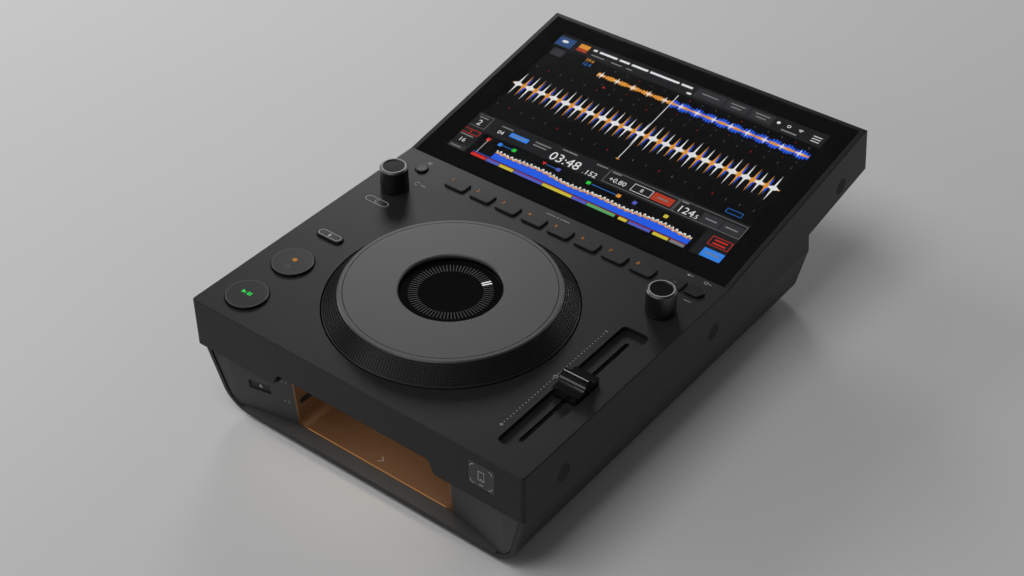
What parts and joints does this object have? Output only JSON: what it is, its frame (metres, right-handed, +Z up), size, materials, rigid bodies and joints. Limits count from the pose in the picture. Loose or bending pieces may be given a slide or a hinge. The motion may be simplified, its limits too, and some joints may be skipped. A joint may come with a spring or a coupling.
{
  "type": "media player",
  "caption": "Desktop player with a jog wheel, a tilted touch screen, a row of pads, a tempo slider and a front bay for data sticks, on a tapered base.",
  "frame": {"origin": "under the middle of the case, on the surface it stands on", "axes": "+X to the player's right, +Y to the back, +Z up"},
  "size_m": [0.254, 0.3774, 0.1169],
  "materials": {
    "case": "fine satin",
    "base": "fine grain",
    "panel": "fine grain",
    "bay": "satin, warm brown",
    "port_metal": "plated",
    "port_tongue": "moulded",
    "window": "polished",
    "plug": "matt",
    "foot": "matt",
    "screen_glass": "clear, glossy",
    "screen": "lit picture",
    "jog_ring": "fine satin",
    "jog_plate": "dark, brushed",
    "inner_plastic": "moulded",
    "steel": "turned",
    "brass": "turned",
    "display": "clear, glossy",
    "key": "satin",
    "pad": "matt",
    "knob": "satin",
    "cap": "polished",
    "board": "coated",
    "supply": "plain sheet",
    "socket": "moulded",
    "jack": "plated"
  },
  "bodies": {
    "case": {"top_cover": "case", "base_shell": "base", "front_panel": "panel", "bay_liner": "bay", "port_shells": "port_metal", "port_tongues": "port_tongue", "reader_window": "window", "side_plugs": "plug", "feet": "foot", "screen_glass": "screen_glass", "screen_panel": "screen", "jog_well": "inner_plastic", "jog_shaft": "steel", "display_cup": "inner_plastic", "display_glass": "display", "encoder_sensor": "inner_plastic", "encoder_sleeves": "steel", "fader_bed": "case", "fader_frame": "steel", "eject_board": "board", "left_board": "board", "row_board": "board", "key_switches": "inner_plastic", "main_board": "board", "board_standoffs": "steel", "base_screws": "steel", "power_supply": "supply", "power_inlet": "socket", "lan_jack": "port_metal", "usb_device_jack": "port_metal", "line_jacks": "jack"},
    "jog_wheel": {"jog_ring": "jog_ring", "jog_plate": "jog_plate", "jog_hub": "inner_plastic", "jog_bushing": "brass", "encoder_disc": "steel"},
    "tempo_slider": {"fader_cap": "cap", "fader_lever": "steel"},
    "eject": {"eject_key": "key"},
    "power": {"power_button": "socket"},
    "left_push": {"left_encoder_shaft": "steel"},
    "left_turn": {"left_knob": "knob"},
    "right_push": {"right_encoder_shaft": "steel"},
    "right_turn": {"right_knob": "knob"},
    "play_button_body": {"play_button": "key"},
    "cue_button_body": {"cue_button": "key"},
    "shift_button_body": {"shift_button": "key"},
    "delete_button_body": {"delete_button": "key"},
    "back_button_body": {"back_button": "pad"},
    "tag_button_body": {"tag_button": "pad"},
    "pad_1_body": {"pad_1": "pad"},
    "pad_2_body": {"pad_2": "pad"},
    "pad_3_body": {"pad_3": "pad"},
    "pad_4_body": {"pad_4": "pad"},
    "pad_5_body": {"pad_5": "pad"},
    "pad_6_body": {"pad_6": "pad"},
    "pad_7_body": {"pad_7": "pad"},
    "pad_8_body": {"pad_8": "pad"}
  },
  "joints": [
    {"name": "jog_turn", "type": "hinge", "parent": "case", "child": "jog_wheel", "pos_m": [0, -0.09524, 0.0875], "axis": [0, 0, 1], "continuous": true},
    {"name": "tempo_slide", "type": "slide", "parent": "case", "child": "tempo_slider", "axis": [0, 1, 0], "range_m": [-0.05, 0.05]},
    {"name": "eject_press", "type": "slide", "parent": "case", "child": "eject", "axis": [0, 1, 0], "range_m": [0, 0.0008], "stiffness_N_per_m": 400},
    {"name": "power_press", "type": "slide", "parent": "case", "child": "power", "axis": [0, -0.9845, -0.1754], "range_m": [0, 0.0015], "stiffness_N_per_m": 400},
    {"name": "left_knob_press", "type": "slide", "parent": "case", "child": "left_push", "axis": [0, 0, -1], "range_m": [0, 0.0006], "stiffness_N_per_m": 600},
    {"name": "left_knob_turn", "type": "hinge", "parent": "left_push", "child": "left_turn", "pos_m": [-0.105, -0.02524, 0.0925], "axis": [0, 0, 1], "continuous": true},
    {"name": "right_knob_press", "type": "slide", "parent": "case", "child": "right_push", "axis": [0, 0, -1], "range_m": [0, 0.0006], "stiffness_N_per_m": 600},
    {"name": "right_knob_turn", "type": "hinge", "parent": "right_push", "child": "right_turn", "pos_m": [0.105, -0.02524, 0.0925], "axis": [0, 0, 1], "continuous": true},
    {"name": "play_press", "type": "slide", "parent": "case", "child": "play_button_body", "axis": [0, 0, -1], "range_m": [0, 0.0008], "stiffness_N_per_m": 400},
    {"name": "cue_press", "type": "slide", "parent": "case", "child": "cue_button_body", "axis": [0, 0, -1], "range_m": [0, 0.0008], "stiffness_N_per_m": 400},
    {"name": "shift_press", "type": "slide", "parent": "case", "child": "shift_button_body", "axis": [0, 0, -1], "range_m": [0, 0.0008], "stiffness_N_per_m": 400},
    {"name": "delete_press", "type": "slide", "parent": "case", "child": "delete_button_body", "axis": [0, 0, -1], "range_m": [0, 0.0008], "stiffness_N_per_m": 400},
    {"name": "back_press", "type": "slide", "parent": "case", "child": "back_button_body", "axis": [0, 0, -1], "range_m": [0, 0.0008], "stiffness_N_per_m": 400},
    {"name": "tag_press", "type": "slide", "parent": "case", "child": "tag_button_body", "axis": [0, 0, -1], "range_m": [0, 0.0008], "stiffness_N_per_m": 400},
    {"name": "pad_1_press", "type": "slide", "parent": "case", "child": "pad_1_body", "axis": [0, 0, -1], "range_m": [0, 0.0008], "stiffness_N_per_m": 400},
    {"name": "pad_2_press", "type": "slide", "parent": "case", "child": "pad_2_body", "axis": [0, 0, -1], "range_m": [0, 0.0008], "stiffness_N_per_m": 400},
    {"name": "pad_3_press", "type": "slide", "parent": "case", "child": "pad_3_body", "axis": [0, 0, -1], "range_m": [0, 0.0008], "stiffness_N_per_m": 400},
    {"name": "pad_4_press", "type": "slide", "parent": "case", "child": "pad_4_body", "axis": [0, 0, -1], "range_m": [0, 0.0008], "stiffness_N_per_m": 400},
    {"name": "pad_5_press", "type": "slide", "parent": "case", "child": "pad_5_body", "axis": [0, 0, -1], "range_m": [0, 0.0008], "stiffness_N_per_m": 400},
    {"name": "pad_6_press", "type": "slide", "parent": "case", "child": "pad_6_body", "axis": [0, 0, -1], "range_m": [0, 0.0008], "stiffness_N_per_m": 400},
    {"name": "pad_7_press", "type": "slide", "parent": "case", "child": "pad_7_body", "axis": [0, 0, -1], "range_m": [0, 0.0008], "stiffness_N_per_m": 400},
    {"name": "pad_8_press", "type": "slide", "parent": "case", "child": "pad_8_body", "axis": [0, 0, -1], "range_m": [0, 0.0008], "stiffness_N_per_m": 400}
  ]
}
